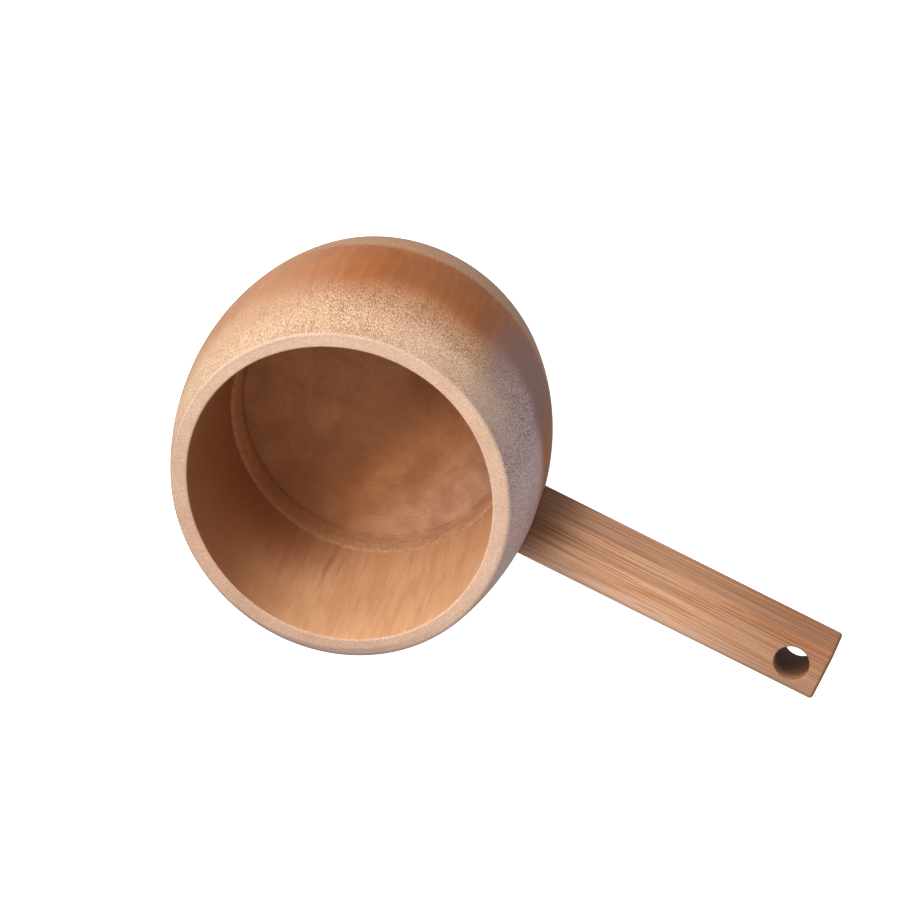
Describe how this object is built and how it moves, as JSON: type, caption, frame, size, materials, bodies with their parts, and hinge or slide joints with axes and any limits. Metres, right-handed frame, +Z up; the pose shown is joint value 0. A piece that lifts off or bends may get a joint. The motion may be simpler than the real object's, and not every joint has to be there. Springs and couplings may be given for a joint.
{
  "type": "water dipper",
  "caption": "Short-handled bamboo water dipper: a round-bellied turned cup with a bored mouth, and a straight square bar handle with a hole to hang it by.",
  "frame": {"origin": "centre of the foot's underside", "axes": "+Z up out of the cup's mouth, +X along the handle towards its free end"},
  "size_m": [0.1561, 0.0838, 0.058],
  "materials": {
    "turned_bamboo": "bare turned bamboo, satin: speckled where the turning cuts across the fibres, streaked where it runs along them, darker inside",
    "bamboo_bar": "planed bamboo, satin, fine dark and light streaks along the bar",
    "bamboo_peg": "plain bamboo peg, fine straight fibres along its length"
  },
  "bodies": {
    "root": {"cup_body": "turned_bamboo", "handle": "bamboo_bar", "joint_dowel": "bamboo_peg"}
  },
  "joints": []
}
